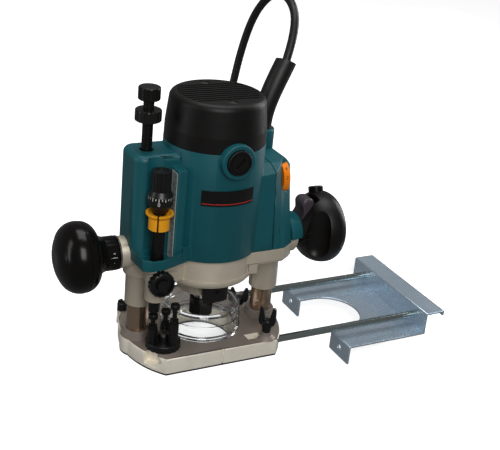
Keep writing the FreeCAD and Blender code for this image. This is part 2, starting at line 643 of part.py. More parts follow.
def motor_housing():
    drum = rod(MOTOR_R, V(0, 0, SEAM_Z + 0.2), Z, HOUSING_TOP - SEAM_Z - 0.2)
    tower = soften(box(TOWER_X, -30, -19, 19, SEAM_Z + 0.2, 185), 10,
                   lambda e: upright(e) and e.CenterOfMass.x < -60)
    tower = soften(tower, 5, lambda e: e.BoundBox.ZMin > 184.9 and e.CenterOfMass.x < -31)
    rib = soften(box(-45.2, -36.5, -32, 0, 97, 176), 1.5, lambda e: upright(e) and e.CenterOfMass.y < -30)
    tray_outline = [(-75, -4), (-73.5, -38), (-68, -41), (-56, -41), (-28, -30), (-28, 0)]
    tray = soften(prism(tray_outline, SEAM_Z + 0.2, 105), 3.0, lambda e: upright(e) and e.CenterOfMass.y < -28)
    tray = less(tray,
                prism([(-73, -4), (-71.6, -37), (-67.4, -39), (-56.4, -39), (-30, -28.6), (-30, 0)], 98.5, 110))
    ear = less(prism([(-38, -34.2), (-28, -30), (-26, -24), (-36, -24)], 98, 109.5),
               prism([(-36.4, -31.8), (-29.6, -29), (-28, -24), (-36.4, -24)], 100, 112))
    cord_boss = rod(11.5, V(GUARD_FOOT.x, GUARD_FOOT.y, 118), Z, 67)
    cord_boss = soften(cord_boss, 2, lambda e: e.BoundBox.ZMin > 184.9)
    bosses = [soften(rod(BRUSH_BOSS_R, V(0, side * 30, BRUSH_Z), Y * side, 17), 1.2,
                     lambda e: abs(e.CenterOfMass.y) > 46.9) for side in (-1, 1)]
    left_lobe = less(lobe(), right_of_split())
    outer = join(drum, tower, tray, ear, rib, left_lobe, cord_boss, *bosses)
    outer = less(outer, rod(13.2, POLE + Z * 104, Z, 100))
    cuts = [rod(MOTOR_IN_R, V(0, 0, 90), Z, 104),
            less(lobe(2.2, 90, LOBE_TOP - 2.2), rod(MOTOR_R, V(0, 0, 80), Z, 120)),
            rod(POLE_R + 0.06, POLE + Z * 90, Z, 30), rod(13.7, V(-90, 0, HANDLE_Z), X, 32)]
    cuts += [rod(9.6, V(0, side * 30, BRUSH_Z), Y * side, 14) for side in (-1, 1)]
    cuts += [rod(10.8, V(0, side * 43.2, BRUSH_Z), Y * side, 8) for side in (-1, 1)]
    cuts += [rod(11, V(-POST_X, 0, 90), Z, 88.5), rod(5.6, V(-POST_X, 0, 90), Z, 120),
             Part.makeSphere(8, V(-POST_X, 0, 190))]
    cuts += [rod(2.2, V(x, y, 90), Z, 14) for x, y in housing_screw_spots()]
    cuts += [rod(4.0, V(x, y, 98.4), Z, 4) for x, y in housing_screw_spots()]
    spigot = ring(36.8, 34, V(0, 0, 180), Z, 24)
    lands = less(ring(MOTOR_IN_R + 1, 34, V(0, 0, 186), Z, 4),
                 *[rod(9.6, V(0, s * 30, BRUSH_Z), Y * s, 14) for s in (-1, 1)])
    spigot = less(spigot, *[rod(9.6, V(0, s * 30, BRUSH_Z), Y * s, 14) for s in (-1, 1)])
    post_tube = join(rod(13, V(POST_X, 0, SEAM_Z + 0.2), Z, 37.8), box(40, 50, -5, 5, SEAM_Z + 0.2, SEAM_Z + 38))
    post_tube = less(post_tube, rod(MOTOR_IN_R, V(0, 0, 90), Z, 104))
    body = join(less(outer, *cuts), spigot, lands, post_tube, bearing_bridge())
    return less(body, rod(11, V(POST_X, 0, 90), Z, 41), rod(7.6, GUARD_FOOT - Z * 14, Z, 20),
                rod(5, V(GUARD_FOOT.x, GUARD_FOOT.y, 110), Z, 70))


def bearing_bridge():
    """Spider across the motor's top that holds the upper bearing."""
    spider = join(rod(15, V(0, 0, 196), Z, 9), box(-35.5, 35.5, -6, 6, 196.2, 203.5))
    return less(spider, rod(11 + SEAT, V(0, 0, 197), Z, 12), rod(8, V(0, 0, 190), Z, 20))


def right_cover():
    """Cover over the post's end and the speed control, flaring into the root of the handle."""
    shell = lobe(0, SEAM_Z + 0.3).common(right_of_split()).common(
        box(SPLIT_X + 0.7, 110, -60, SPLIT_Y - 0.7, 60, 240))
    root = Part.makeCone(20.5, 17.4, 14.5, V(72, 0, HANDLE_Z - 1), X).common(
        box(60, 90, -30, 30, SEAM_Z + 0.3, 140))
    dial_room = rod(DIAL_R + 0.6, DIAL - X * (DIAL_HALF + 0.4), X, 2 * DIAL_HALF + 0.8)
    hollow = lobe(2.2, SEAM_Z, LOBE_TOP - 2.2)
    cuts = [hollow, dial_room, rod(13.4, V(POST_X, 0, 90), Z, 48),
            rod(11.8, V(GUARD_FOOT.x, GUARD_FOOT.y, 117.7), Z, 70)]
    return less(join(shell, less(root, box(50, 74, -30, 30, 90, 140))), *cuts)


def motor_screws():
    """Identical screws: four join the motor housing to the gear housing, two hold the cap."""
    seats = [V(x, y, 98.4) for x, y in housing_screw_spots()] + [V(0, side * 26.8, 227.2) for side in (-1, 1)]
    return Part.makeCompound([pan_screw(seat, -Z, 1.95, 16, 3.7, 1.2) for seat in seats])


def speed_dial():
    dial = rod(DIAL_R, DIAL - X * DIAL_HALF, X, 2 * DIAL_HALF)
    ribs = [rod(0.7, V(DIAL.x - 4, DIAL.y, DIAL.z) + V(0, (DIAL_R + 0.35) * math.cos(math.radians(9 * i)),
                                                      (DIAL_R + 0.35) * math.sin(math.radians(9 * i))), X, 1.6)
            for i in range(40)]
    return less(dial, rod(1.6, DIAL - X * 6, X, 12), *ribs)


def dial_axle():
    return rod(1.52, DIAL - X * 8, X, 10)


def speed_control():
    board = box(51, 53, -2, 20, 140, 162)
    parts = [box(53, 57, 8, 16, 143, 149), rod(4, V(53, DIAL.y, DIAL.z), X, 8), dial_axle()]
    return join(board, *parts)


def top_cap():
    outside = [(0, CAP_TOP), (34, CAP_TOP), ((38.0, 227.4), (39.8, 223.5)), (42.0, 203), (42.3, HOUSING_TOP + 0.3)]
    inside = [(39.2, HOUSING_TOP + 0.3), (38.9, 203), (36.8, 222.5), (33.5, 225.6), (0, 225.6)]
    cap = lathe(outside + inside)
    slots = []
    for i in range(-4, 5):
        y = 5.0 * i
        reach = math.sqrt(33.5 ** 2 - y ** 2)
        slots.append(box(-reach, reach, y - 1.2, y + 1.2, 222, 232))
    bosses = [rod(BRUSH_BOSS_R + 0.4, V(0, side * 30, BRUSH_Z), Y * side, 20) for side in (-1, 1)]
    wells = [rod(4.2, V(0, side * 26.8, 227.2), Z, 5) for side in (-1, 1)]
    holes = [rod(2.2, V(0, side * 26.8, 215), Z, 14) for side in (-1, 1)]
    return less(cap, *slots, *bosses, *wells, *holes)


def label_plate():
    plate = ring(MOTOR_R + 0.7, MOTOR_R + 0.1, V(0, 0, 146.3), Z, 13.2)
    wedge = prism([(0, 0)] + [(80 * math.sin(math.radians(a)), -80 * math.cos(math.radians(a)))
                              for a in (-36, -4, 27)], 140, 170)
    return plate.common(wedge)


# ---------------------------------------------------------------- handles
def lock_knob():
    """Inner half of the clamp knob, with its metal stud moulded in."""
    start = V(KNOB_X, 0, HANDLE_Z)
    grip = lathe([(4.3, 0), (13.7, 0), (14.5, 1.2), (14.5, 10.5), ((16.7, 14.9), (20.8, 17.6)),
                  ((27.4, 22.6), (KNOB_R, 28.8)), (4.3, 28.8)], start, -X)
    stud = rod(3.95, V(-69.9, 0, HANDLE_Z), -X, 34)
    return join(less(grip, ring(12, 8, start, -X, 3)), stud, ring(4.5, 3, start - X * 2, -X, 24))


def lock_knob_cap():
    start = V(KNOB_X, 0, HANDLE_Z)
    return lathe([(0, 29.1), (KNOB_R, 29.1), ((27.3, 40.6), (20, 46.8)), ((13.2, 49.7), (6, 50.9)),
                  (0, 50.9)], start, -X)


def collar_ring():
    return ring(14.2, 9, V(COLLAR_X - 0.2, 0, HANDLE_Z), -X, 1.3)


def handle_grip():
    """Hollow inner half of the right handle: finger hollows at its neck, a slot for the trigger, open at the seam."""
    start = V(0, 0, HANDLE_Z)
    grip = lathe([(0, HANDLE_X), (15.0, HANDLE_X), (15.0, 88.5), ((19.5, 93.0), (26.0, 97.8)),
                  ((31.0, 105.5), (HANDLE_R, HANDLE_SEAM)), (0, HANDLE_SEAM)], start, X)
    hollows = [join(rod(12, V(95, side * 27.2, 84), Z, 60), Part.makeSphere(12, V(95, side * 27.2, 84)))
               for side in (-1, 1)]
    ribs = [rod(1.0, V(87.5, side * 15.0, z), X, 13) for side in (-1, 1) for z in (91.6, 97.4)]
    cuts = [rod(26.5, V(108.5, 0, HANDLE_Z), X, 9), rod(15.5, V(103.5, 0, HANDLE_Z), X, 6),
            rod(9.5, V(74, 0, HANDLE_Z - 2), X, 32), box(84, 105.2, -8.4, 8.4, 107.6, 130),
            box(93.8, 110.6, -8.4, 8.4, 107.6, 117.2), button_room()]
    return less(join(less(grip, *hollows), *ribs), *cuts)


def handle_cap():
    start = V(0, 0, HANDLE_Z)
    cap = lathe([(0, HANDLE_SEAM + 0.3), (HANDLE_R, HANDLE_SEAM + 0.3), ((28.9, 123.6), (21.5, 127.2)),
                 ((13.5, 128.8), (6, 129.3)), (0, 129.3)], start, X)
    return less(cap, rod(26.5, V(115, 0, HANDLE_Z), X, 9), button_room())


def button_room():
    return rod(7.1, V(BUTTON_X, 0, HANDLE_Z) + BUTTON_DIR * 20, BUTTON_DIR, 30)


def lock_off_button():
    start = V(BUTTON_X, 0, HANDLE_Z) + BUTTON_DIR * 27.6
    return soften(rod(6.7, start, BUTTON_DIR, 9.0), 0.9,
                  lambda e: (e.CenterOfMass - start).dot(BUTTON_DIR) > 8.9)


def trigger():
    pad = box(88, 100.6, -8, 8, 108, 127.4)
    pad = soften(pad, 5.5, lambda e: e.BoundBox.YLength > 15 and e.CenterOfMass.z > 127)
    pad = soften(pad, 2.6, lambda e: upright(e) and e.CenterOfMass.x < 92)
    dish = rod(15, V(75.0, -20, 115.0), Y, 40)
    return join(less(pad, dish), box(98, 106, -8, 8, 108, 116.6))


def trigger_switch():
    return join(box(104, 116, -9, 9, 84, 104), box(106, 110, -2.5, 2.5, 103, 106.8))


# ---------------------------------------------------------------- cord
def cord_guard():
    """Bend relief that ends just short of the cord tube."""
    foot = rod(7.4, GUARD_FOOT - Z * 13.5, Z, 14)
    leave = (CORD_ROUTE[1] - CORD_ROUTE[0]).normalize()
    stations = ((GUARD_FOOT, Z, 8.4), (V(61.3, 30.3, 198), V(0.2, 0.05, 1), 8.6),
                (V(67.5, 31.9, 216), V(0.42, 0.12, 1), 9.0),
                (CORD_ROUTE[0] - leave * 0.3, leave, 9.2))
    return join(foot, Part.makeLoft([Part.Wire(Part.Circle(*station).toShape()) for station in stations], True))


def cord_tube():
    return bent_tube(CORD_ROUTE, CORD_R)


def cord_coil():
    return lathe([(COIL_MEAN_R - COIL_HALF, 5), ((COIL_MEAN_R - COIL_HALF + 1.5, 1.5), (COIL_MEAN_R - 6.5, 0)),
                  (COIL_MEAN_R + 6.5, 0), ((COIL_MEAN_R + COIL_HALF - 1.5, 1.5), (COIL_MEAN_R + COIL_HALF, 5)),
                  (COIL_MEAN_R + COIL_HALF, COIL_H - 5),
                  ((COIL_MEAN_R + COIL_HALF - 1.5, COIL_H - 1.5), (COIL_MEAN_R + 6.5, COIL_H)),
                  (COIL_MEAN_R - 6.5, COIL_H),
                  ((COIL_MEAN_R - COIL_HALF + 1.5, COIL_H - 1.5), (COIL_MEAN_R - COIL_HALF, COIL_H - 5))], COIL)


def plug_body():
    shape = lathe([(0, 0), (5.0, 0), (5.6, 14), ((8, 20), (13.2, 23)), (13.2, 44), (0, 44)])
    wide = box(-17.5, 17.5, -10.5, 10.5, 24, 44)
    wide = soften(wide, 6, lambda e: upright(e))
    turned = aimed(join(shape, wide), V(0, 0, 0), PLUG_DIR)
    thin = FreeCAD.Rotation(Z, PLUG_DIR).multVec(Y)
    roll = math.degrees(thin.getAngle(Z)) * (1 if thin.cross(Z).dot(PLUG_DIR) > 0 else -1)
    turned.rotate(V(0, 0, 0), PLUG_DIR, roll)
    return turned.translated(PLUG_AT)


def plug_pins():
    side = PLUG_DIR.cross(Z)
    face = PLUG_AT + PLUG_DIR * 43.8
    return Part.makeCompound([soften(rod(2.4, face + side * s * 9.5, PLUG_DIR, 19.2), 1.0,
                                     lambda e: (e.CenterOfMass - face).dot(PLUG_DIR) > 19) for s in (-1, 1)])


def main():
    pieces = {
        "base_casting": base_casting(), "base_sole": base_sole(), "sole_screws": sole_screws(),
        "left_post": left_post(), "right_post": right_post(), "chip_guard": chip_guard(),
        "limit_bolt": limit_bolt(), "limit_nut": limit_nut(),
        "guide_plate": guide_plate(), "guide_rods": guide_rods(), "guide_screws": guide_screws(),
        "stopper_block": stopper_block(), "stopper_bolts": stopper_bolts(), "turret_screw": turret_screw(),
        "stopper_pole": stopper_pole(), "depth_knob": depth_knob(), "depth_pointer": depth_pointer(),
        "setting_knob": setting_knob(), "depth_scale": depth_scale(),
        "gear_housing": gear_housing(), "sleeve_bushes": sleeve_bushes(),
        "shaft_lock": shaft_lock(), "plunge_springs": plunge_springs(),
        "spindle": spindle(), "collet": collet(), "collet_nut": collet_nut(),
        "lower_bearing": lower_bearing(), "upper_bearing": upper_bearing(),
        "armature_core": armature_core(), "armature_windings": armature_windings(), "commutator": commutator(),
        "fan": fan(), "stator_core": stator_core(), "field_coils": field_coils(),
        "carbon_brushes": carbon_brushes(), "brush_holders": brush_holders(), "brush_caps": brush_caps(),
        "motor_housing": motor_housing(), "right_cover": right_cover(),
        "motor_screws": motor_screws(), "speed_dial": speed_dial(), "speed_control": speed_control(),
        "top_cap": top_cap(), "label_plate": label_plate(),
        "lock_knob": lock_knob(), "lock_knob_cap": lock_knob_cap(), "collar_ring": collar_ring(),
        "handle_grip": handle_grip(), "handle_cap": handle_cap(),
        "lock_off_button": lock_off_button(), "trigger": trigger(), "trigger_switch": trigger_switch(),
        "cord_guard": cord_guard(), "cord_tube": cord_tube(), "cord_coil": cord_coil(),
        "plug_body": plug_body(), "plug_pins": plug_pins(),
    }
    for name, place in WINGS.items():
        pieces[name + "_wing_bolt"] = wing_bolt(*place)
    os.makedirs("parts", exist_ok=True)
    for name, shape in pieces.items():
        if not shape.isValid() or not shape.Solids:
            print("INVALID", name, shape.ShapeType, len(shape.Solids))
        shape.exportStep(f"parts/{name}.step")
    print(len(pieces), "nodes")


main()
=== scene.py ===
"""Plunge router with side guide: finishes, cord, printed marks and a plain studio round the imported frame."""
import math
import bmesh
import bpy
from mathutils import Matrix, Vector


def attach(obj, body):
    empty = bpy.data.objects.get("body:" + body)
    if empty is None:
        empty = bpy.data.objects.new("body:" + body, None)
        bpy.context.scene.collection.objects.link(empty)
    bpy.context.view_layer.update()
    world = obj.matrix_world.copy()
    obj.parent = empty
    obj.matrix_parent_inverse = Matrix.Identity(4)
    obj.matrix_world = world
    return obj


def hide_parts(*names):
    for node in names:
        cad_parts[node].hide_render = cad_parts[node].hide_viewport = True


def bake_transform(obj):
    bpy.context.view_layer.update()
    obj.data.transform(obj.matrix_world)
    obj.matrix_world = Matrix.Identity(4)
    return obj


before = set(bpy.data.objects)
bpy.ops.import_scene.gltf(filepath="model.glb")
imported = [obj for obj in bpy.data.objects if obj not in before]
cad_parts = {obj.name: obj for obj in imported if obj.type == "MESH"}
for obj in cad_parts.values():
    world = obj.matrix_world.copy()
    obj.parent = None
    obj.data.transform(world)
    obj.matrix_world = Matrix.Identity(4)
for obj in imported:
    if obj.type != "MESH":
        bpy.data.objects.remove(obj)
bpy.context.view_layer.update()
MM = 0.001


def mm(*values):
    """A point given in millimetres, in the frame's metres."""
    return Vector(values) * MM


# ---------------------------------------------------------------- camera
CAMERA_TARGET = mm(41.36, 0, 105.65)
CAMERA_AWAY = 0.892
CAMERA_AZIMUTH = math.radians(-29.41)
CAMERA_RISE = math.radians(23.99)
CAMERA_ROLL = math.radians(5.76)
CAMERA_LENS = 73.48
CAMERA_SENSOR = 36
CAMERA_NEAR = 0.02


def set_camera():
    """Stand the camera off its target by azimuth and rise, then roll it about its own line of sight."""
    back = Vector((math.sin(CAMERA_AZIMUTH) * math.cos(CAMERA_RISE),
                   -math.cos(CAMERA_AZIMUTH) * math.cos(CAMERA_RISE), math.sin(CAMERA_RISE)))
    side = Vector((math.cos(CAMERA_AZIMUTH), math.sin(CAMERA_AZIMUTH), 0))
    up = back.cross(side)
    cos, sin = math.cos(CAMERA_ROLL), math.sin(CAMERA_ROLL)
    rolled_side, rolled_up = side * cos + up * sin, up * cos - side * sin
    turn = Matrix((rolled_side, rolled_up, back)).transposed().to_4x4()
    data = bpy.data.cameras.new("studio_camera")
    data.lens = CAMERA_LENS
    data.sensor_width = CAMERA_SENSOR
    data.clip_start = CAMERA_NEAR
    camera = bpy.data.objects.new("studio_camera", data)
    bpy.context.collection.objects.link(camera)
    camera.matrix_world = Matrix.Translation(CAMERA_TARGET + back * CAMERA_AWAY) @ turn
    bpy.context.scene.camera = camera


set_camera()


# ---------------------------------------------------------------- making pieces
def add_piece(name, bm, material, body=None, replaces=(), smooth=40):
    """Make a bmesh a piece, with its finish, its shading and what the frame has to know of it."""
    mesh = bpy.data.meshes.new(name)
    bm.to_mesh(mesh)
    bm.free()
    piece = bpy.data.objects.new(name, mesh)
    bpy.context.collection.objects.link(piece)
    mesh.materials.append(material)
    shade(mesh, smooth)
    if replaces:
        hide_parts(*replaces)
    if body:
        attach(piece, body)
    return piece


def shade(mesh, degrees):
    """Smooth shading with edges sharper than the angle kept crisp."""
    mesh.shade_smooth()
    mesh.set_sharp_from_angle(angle=math.radians(degrees))


CAPITAL_SHARE = 0.72  # height of a digit as a share of the font size


def flat_text(text, height):
    """Filled letters of a height in millimetres in the XY plane, centred, as a bmesh."""
    curve = bpy.data.curves.new("print_" + text, "FONT")
    curve.body = text
    curve.size = height * MM / CAPITAL_SHARE
    curve.align_x = "CENTER"
    curve.align_y = "CENTER"
    curve.resolution_u = 3
    holder = bpy.data.objects.new("print_" + text, curve)
    bpy.context.collection.objects.link(holder)
    bpy.context.view_layer.update()
    mesh = bpy.data.meshes.new_from_object(holder)
    bm = bmesh.new()
    bm.from_mesh(mesh)
    bpy.data.objects.remove(holder)
    bpy.data.meshes.remove(mesh)
    return bm


def patch(width, height, across=1):
    """Flat rectangle in the XY plane, in millimetres, split across its width so that it can be wrapped."""
    bm = bmesh.new()
    bmesh.ops.create_grid(bm, x_segments=across, y_segments=1, size=0.5)
    bmesh.ops.scale(bm, vec=(width * MM, height * MM, 1), verts=bm.verts)
    return bm


def wrap(bm, centre, axis, facing, radius, along_axis=True, turn=0.0):
    """Lay a flat print on a drum. Its up runs along the axis, or round the drum where along_axis is False."""
    axis, facing = Vector(axis), Vector(facing).normalized()
    side = axis.cross(facing)
    for vert in bm.verts:
        x, y = vert.co.x, vert.co.y
        around, along = (x, y) if along_axis else (y, x)
        angle = around / radius + turn
        outwards = facing * math.cos(angle) + side * math.sin(angle)
        vert.co = Vector(centre) + axis * along + outwards * radius
    return bm


def gathered(pieces):
    """Several bmeshes as one."""
    whole = bmesh.new()
    for bm in pieces:
        mesh = bpy.data.meshes.new("part")
        bm.to_mesh(mesh)
        bm.free()
        whole.from_mesh(mesh)
        bpy.data.meshes.remove(mesh)
    return whole


# ---------------------------------------------------------------- finishes
RAMP_SPAN = (0.3, 0.7)
DRIFT_DETAIL, GLOSS_DETAIL, GRAIN_DETAIL = 4, 5, 3
GLOSS_FINENESS = 2.3  # uneven gloss against colour drift
GRAIN_DEPTH = 0.0004
LEAST_ROUGH = 0.02


def finish(name, colour, rough, metal=0.0, mottle=0.06, mottle_scale=60, rough_spread=0.08, grain=0.04,
           grain_scale=900, specular=0.5, stretch=(1, 1, 1)):
    """A surface with slight colour drift, uneven gloss and a fine grain in relief."""
    material = bpy.data.materials.new(name)
    material.use_nodes = True
    nodes, links = material.node_tree.nodes, material.node_tree.links
    shader = nodes["Principled BSDF"]
    shader.inputs["Metallic"].default_value = metal
    shader.inputs["Specular IOR Level"].default_value = specular
    where = nodes.new("ShaderNodeTexCoord")
    mapping = nodes.new("ShaderNodeMapping")
    mapping.inputs["Scale"].default_value = stretch
    links.new(where.outputs["Object"], mapping.inputs["Vector"])

    drift = noise(nodes, links, mapping, mottle_scale, DRIFT_DETAIL)
    ramp = nodes.new("ShaderNodeValToRGB")
    for element, at, share in zip(ramp.color_ramp.elements, RAMP_SPAN, (1 - mottle, 1 + mottle)):
        element.position = at
        element.color = (*[min(1, c * share) for c in colour], 1)
    links.new(drift.outputs["Fac"], ramp.inputs["Fac"])
    links.new(ramp.outputs["Color"], shader.inputs["Base Color"])

    gloss = noise(nodes, links, mapping, mottle_scale * GLOSS_FINENESS, GLOSS_DETAIL)
    spread = nodes.new("ShaderNodeMapRange")
    spread.inputs["To Min"].default_value = max(LEAST_ROUGH, rough - rough_spread)
    spread.inputs["To Max"].default_value = min(1, rough + rough_spread)
    links.new(gloss.outputs["Fac"], spread.inputs["Value"])
    links.new(spread.outputs["Result"], shader.inputs["Roughness"])

    relief = noise(nodes, links, mapping, grain_scale, GRAIN_DETAIL)
    bump = nodes.new("ShaderNodeBump")
    bump.inputs["Strength"].default_value = grain
    bump.inputs["Distance"].default_value = GRAIN_DEPTH
    links.new(relief.outputs["Fac"], bump.inputs["Height"])
    links.new(bump.outputs["Normal"], shader.inputs["Normal"])
    return material


def noise(nodes, links, mapping, scale, detail):
    texture = nodes.new("ShaderNodeTexNoise")
    texture.inputs["Scale"].default_value = scale
    texture.inputs["Detail"].default_value = detail
    links.new(mapping.outputs["Vector"], texture.inputs["Vector"])
    return texture


def rgb(red, green, blue):
    """Display colour from 0 to 255 to linear."""
    return tuple((c / 255 / 12.92) if c / 255 <= 0.04045 else ((c / 255 + 0.055) / 1.055) ** 2.4
                 for c in (red, green, blue))


def clear_plastic():
    material = finish("clear_polycarbonate", (0.93, 0.955, 0.965), 0.06, mottle=0.01, rough_spread=0.03,
                      grain=0.02, grain_scale=300)
    shader = material.node_tree.nodes["Principled BSDF"]
    shader.inputs["Transmission Weight"].default_value = 1.0
    shader.inputs["IOR"].default_value = 1.49
    return material


MACHINED_ABOVE = 0.01555
STREAK_STRETCH = (1.0, 0.03, 1.0)
STREAK_SCALE = 520
STREAK_STRENGTH = 0.08


def base_casting_finish():
    """Satin grey casting whose top face is left machined and darker."""
    material = finish("base_casting_paint", rgb(250, 242, 226), 0.42, metal=0.2, mottle=0.06, mottle_scale=90,
                      grain=0.22, grain_scale=1400, specular=0.4)
    nodes, links = material.node_tree.nodes, material.node_tree.links
    shader = nodes["Principled BSDF"]
    where = next(n for n in nodes if n.bl_idname == "ShaderNodeTexCoord")
    apart = nodes.new("ShaderNodeSeparateXYZ")
    links.new(where.outputs["Object"], apart.inputs["Vector"])
    above = nodes.new("ShaderNodeMath")
    above.operation = "GREATER_THAN"
    above.inputs[1].default_value = MACHINED_ABOVE
    links.new(apart.outputs["Z"], above.inputs[0])
    blend = nodes.new("ShaderNodeMix")
    blend.data_type = "RGBA"
    links.new(above.outputs["Value"], blend.inputs["Factor"])
    painted = shader.inputs["Base Color"].links[0].from_socket
    links.new(painted, blend.inputs["A"])
    blend.inputs["B"].default_value = (*rgb(136, 126, 118), 1)
    links.new(blend.outputs["Result"], shader.inputs["Base Color"])
    return material


def zinc_finish():
    """Bright plated sheet: soft cloudy spangle and long faint rolling streaks."""
    material = finish("guide_zinc_plate", rgb(204, 222, 238), 0.27, metal=0.75, mottle=0.06, mottle_scale=30,
                      rough_spread=0.06, grain=0.012, grain_scale=700)
    nodes, links = material.node_tree.nodes, material.node_tree.links
    shader = nodes["Principled BSDF"]
    where = next(n for n in nodes if n.bl_idname == "ShaderNodeTexCoord")
    long_way = nodes.new("ShaderNodeMapping")
    long_way.inputs["Scale"].default_value = STREAK_STRETCH
    links.new(where.outputs["Object"], long_way.inputs["Vector"])
    streak = noise(nodes, links, long_way, STREAK_SCALE, GRAIN_DETAIL)
    blend = nodes.new("ShaderNodeMix")
    blend.data_type = "RGBA"
    blend.blend_type = "MULTIPLY"
    blend.inputs["Factor"].default_value = STREAK_STRENGTH
    links.new(shader.inputs["Base Color"].links[0].from_socket, blend.inputs["A"])
    links.new(streak.outputs["Fac"], blend.inputs["B"])
    links.new(blend.outputs["Result"], shader.inputs["Base Color"])
    return material


TEAL = finish("teal_housing_plastic", rgb(13, 82, 90), 0.44, mottle=0.05, grain=0.12, grain_scale=1600,
              rough_spread=0.05, specular=0.35)
CAP_BLACK = finish("cap_black_plastic", rgb(15, 13, 12), 0.44, grain=0.14, grain_scale=1500, specular=0.25)
KNOB_BLACK = finish("knob_polished_black", rgb(12, 10, 9), 0.20, grain=0.02, grain_scale=500,
                    rough_spread=0.05, specular=0.22)
HANDLE_BLACK = finish("handle_satin_black", rgb(14, 12, 11), 0.40, grain=0.08, grain_scale=1100,
                      specular=0.28)
TRIGGER_GREY = finish("trigger_grey_plastic", rgb(64, 58, 64), 0.40, grain=0.08, grain_scale=1300,
                      specular=0.4)
SMALL_BLACK = finish("small_black_plastic", rgb(12, 11, 11), 0.36, grain=0.08, grain_scale=1300,
                     specular=0.45)
RUBBER = finish("cord_black_rubber", rgb(15, 14, 13), 0.46, grain=0.12, grain_scale=1200, specular=0.4)
SOLE_BLACK = finish("sole_black_phenolic", rgb(16, 16, 17), 0.34, grain=0.03, specular=0.4)
CASTING = finish("gear_case_silver", rgb(198, 188, 170), 0.42, metal=0.3, mottle=0.05, mottle_scale=80,
                 grain=0.22, grain_scale=1500, specular=0.4)
BASE_CASTING = base_casting_finish()
POST_CHROME = finish("post_dark_chrome", rgb(176, 150, 128), 0.2, metal=0.9, mottle=0.06, rough_spread=0.05,
                     grain=0.02, stretch=(1, 1, 0.1))
ZINC = zinc_finish()
ROD_STEEL = finish("guide_rod_steel", rgb(176, 188, 186), 0.16, metal=1.0, mottle=0.05, rough_spread=0.05,
                   grain=0.03, stretch=(0.1, 1, 1))
STEEL = finish("bright_steel", rgb(160, 157, 152), 0.27, metal=1.0, grain=0.03)
DARK_STEEL = finish("blackened_steel", rgb(30, 29, 28), 0.32, metal=0.6, mottle=0.1, rough_spread=0.1,
                    grain=0.06)
NYLON = finish("nut_black_nylon", rgb(20, 19, 18), 0.36, grain=0.04, specular=0.4)
YELLOW = finish("pointer_yellow_plastic", rgb(240, 164, 28), 0.36, mottle=0.03, grain=0.05, specular=0.35)
ORANGE = finish("dial_orange_plastic", rgb(243, 132, 16), 0.38, mottle=0.03, grain=0.05, specular=0.35)
SCALE_GREY = finish("depth_scale_plate", rgb(176, 182, 176), 0.4, metal=0.2, mottle=0.05, grain=0.03)
LABEL = finish("label_black_film", rgb(14, 13, 14), 0.28, grain=0.01, specular=0.35)
LABEL_LINE = finish("label_red_line", rgb(176, 44, 40), 0.3, grain=0.01)
INK = finish("printed_white", rgb(222, 221, 214), 0.5, grain=0.01)
DARK_INK = finish("printed_black", rgb(36, 28, 22), 0.5, grain=0.01)
COPPER = finish("enamelled_copper", rgb(168, 88, 48), 0.3, metal=0.9, mottle=0.12, mottle_scale=200,
                grain=0.3, grain_scale=800, stretch=(1, 1, 4))
LAMINATION = finish("stacked_lamination", rgb(110, 110, 112), 0.4, metal=0.9, mottle=0.2, mottle_scale=120,
                    grain=0.3, grain_scale=260, stretch=(0.1, 0.1, 6))
BRONZE = finish("sintered_bronze", rgb(176, 138, 82), 0.45, metal=0.9, mottle=0.1, mottle_scale=400,
                grain=0.2)
BRASS = finish("drawn_brass", rgb(196, 164, 92), 0.28, metal=1.0)
CARBON = finish("brush_carbon", rgb(40, 40, 41), 0.6, mottle=0.15, grain=0.2)
BOARD = finish("circuit_board", rgb(34, 84, 48), 0.45, mottle=0.15, mottle_scale=300, grain=0.1)
CLEAR = clear_plastic()

NODE_FINISH = {
    "base_casting": BASE_CASTING, "base_sole": SOLE_BLACK, "sole_screws": STEEL, "left_post": POST_CHROME,
    "right_post": POST_CHROME, "chip_guard": CLEAR, "limit_bolt": DARK_STEEL, "limit_nut": NYLON,
    "guide_plate": ZINC, "guide_rods": ROD_STEEL, "guide_screws": STEEL, "stopper_block": SMALL_BLACK,
    "stopper_bolts": DARK_STEEL, "turret_screw": STEEL, "stopper_pole": DARK_STEEL,
    "depth_knob": SMALL_BLACK, "depth_pointer": YELLOW, "setting_knob": SMALL_BLACK,
    "depth_scale": SCALE_GREY, "gear_housing": CASTING, "sleeve_bushes": BRONZE,
    "shaft_lock": SMALL_BLACK, "plunge_springs": STEEL, "spindle": STEEL, "collet": STEEL,
    "collet_nut": DARK_STEEL, "lower_bearing": STEEL, "upper_bearing": STEEL, "armature_core": LAMINATION,
    "armature_windings": COPPER, "commutator": COPPER, "fan": SMALL_BLACK, "stator_core": LAMINATION,
    "field_coils": COPPER, "carbon_brushes": CARBON, "brush_holders": BRASS, "brush_caps": CAP_BLACK,
    "motor_housing": TEAL, "right_cover": TEAL, "motor_screws": STEEL, "speed_dial": ORANGE,
    "speed_control": BOARD, "top_cap": CAP_BLACK, "label_plate": LABEL, "lock_knob": KNOB_BLACK,
    "lock_knob_cap": KNOB_BLACK, "collar_ring": STEEL, "handle_grip": HANDLE_BLACK,
    "handle_cap": HANDLE_BLACK, "lock_off_button": KNOB_BLACK, "trigger": TRIGGER_GREY,
    "trigger_switch": SMALL_BLACK, "cord_guard": RUBBER, "cord_tube": RUBBER, "cord_coil": RUBBER,
    "plug_body": RUBBER, "plug_pins": STEEL, "front_right_wing_bolt": SMALL_BLACK,
    "back_right_wing_bolt": SMALL_BLACK, "back_left_wing_bolt": SMALL_BLACK,
}


